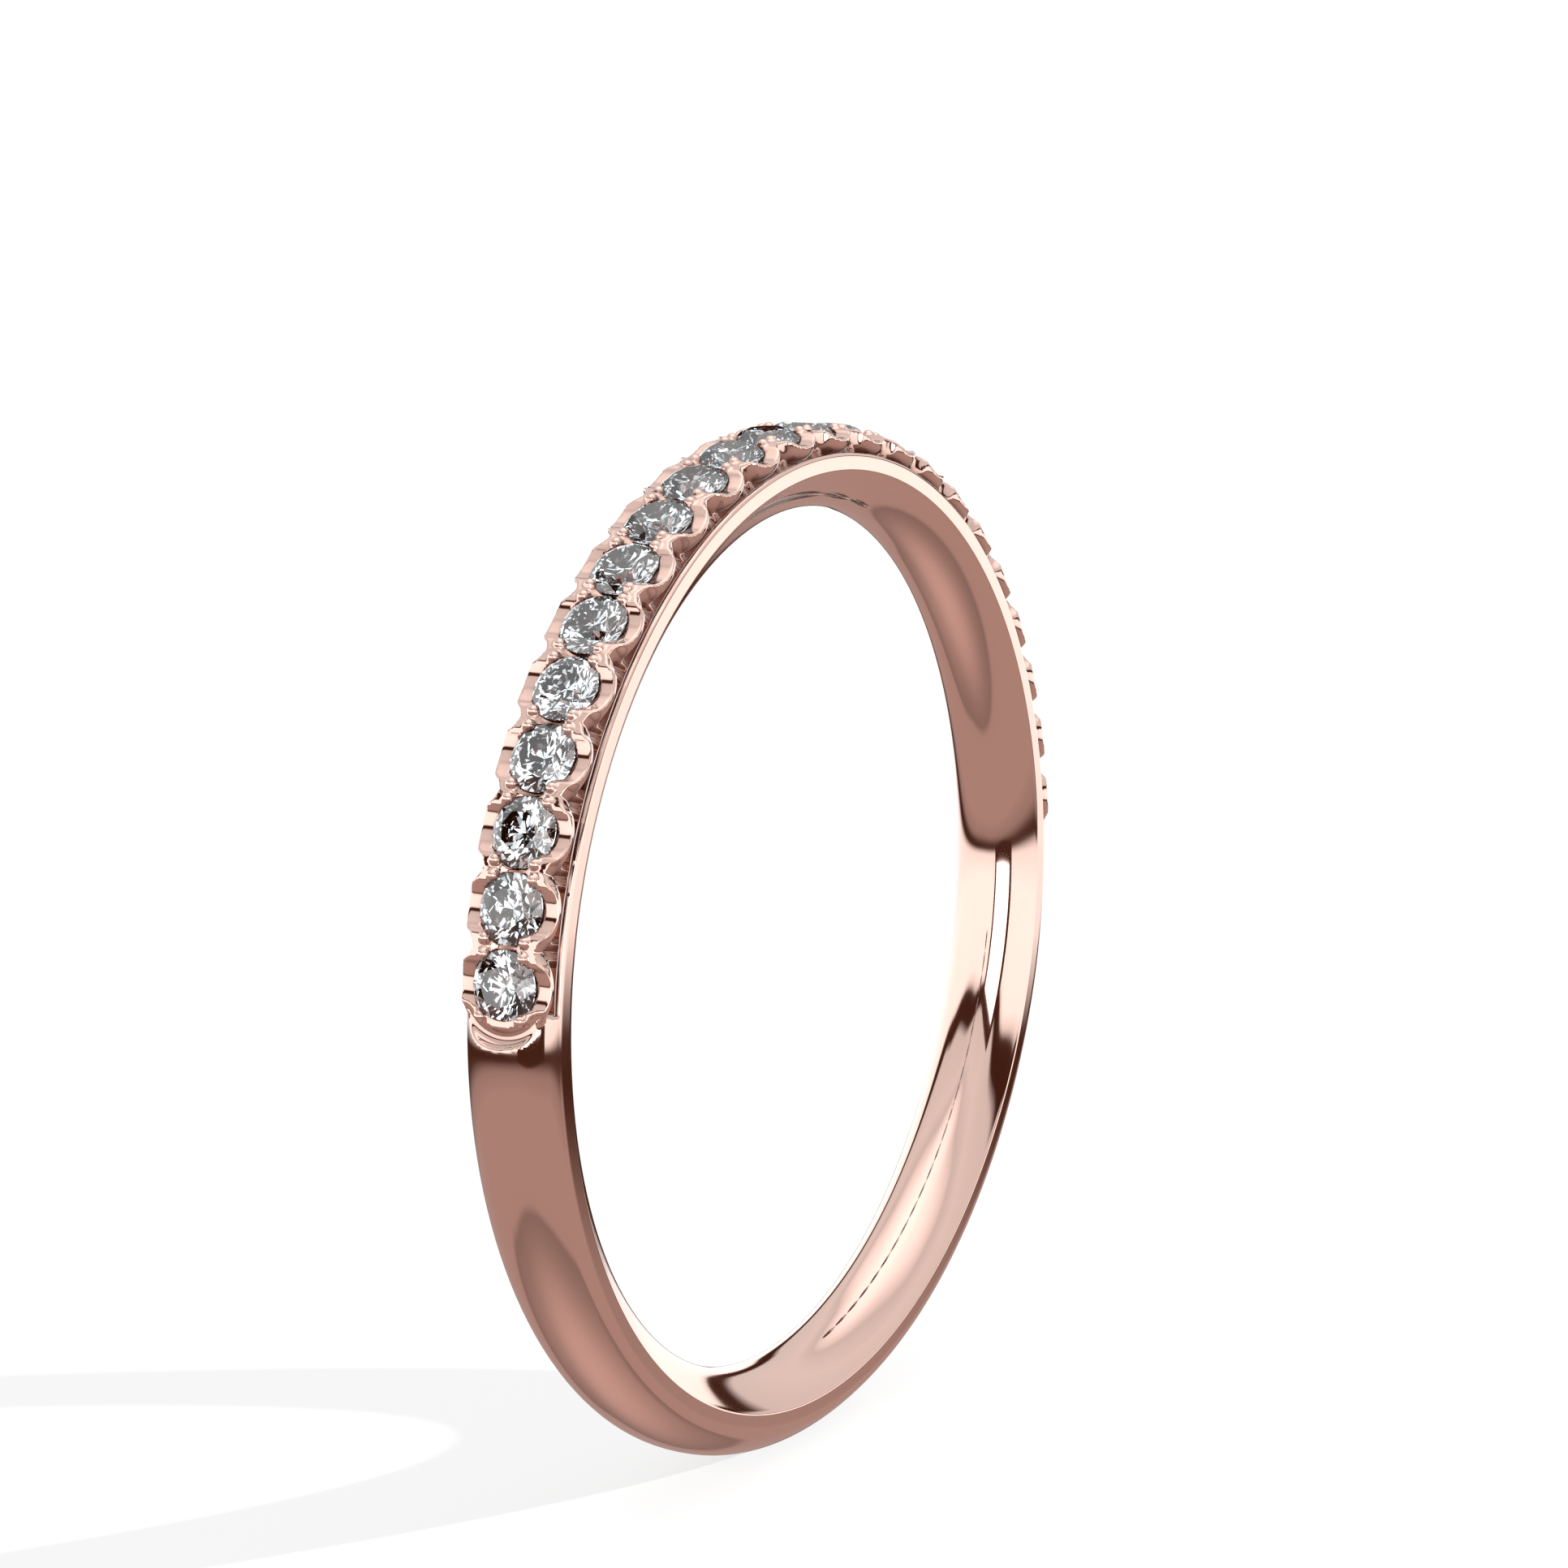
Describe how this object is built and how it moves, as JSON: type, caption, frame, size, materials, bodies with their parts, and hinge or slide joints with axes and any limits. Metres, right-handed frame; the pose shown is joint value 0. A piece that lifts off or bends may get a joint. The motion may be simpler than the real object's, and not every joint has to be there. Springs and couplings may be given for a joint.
{
  "type": "wedding band",
  "caption": "Slim rose-gold wedding band with a comfort-fit bore and a row of round brilliants in scalloped cups over its upper half.",
  "frame": {"origin": "centre of the finger bore, on its axis, halfway across the band's width", "axes": "+Y along the finger's axis; +Z from the finger's centre towards the middle of the stone row; +X along the band, across the finger"},
  "size_m": [0.0204, 0.002, 0.0203],
  "materials": {
    "rose_gold": "high polish",
    "diamond": "cut and polished facets"
  },
  "bodies": {
    "root": {"shank": "rose_gold", "stone_01": "diamond", "stone_02": "diamond", "stone_03": "diamond", "stone_04": "diamond", "stone_05": "diamond", "stone_06": "diamond", "stone_07": "diamond", "stone_08": "diamond", "stone_09": "diamond", "stone_10": "diamond", "stone_11": "diamond", "stone_12": "diamond", "stone_13": "diamond", "stone_14": "diamond", "stone_15": "diamond", "stone_16": "diamond", "stone_17": "diamond", "stone_18": "diamond", "stone_19": "diamond", "stone_20": "diamond", "stone_21": "diamond", "stone_22": "diamond"}
  },
  "joints": []
}
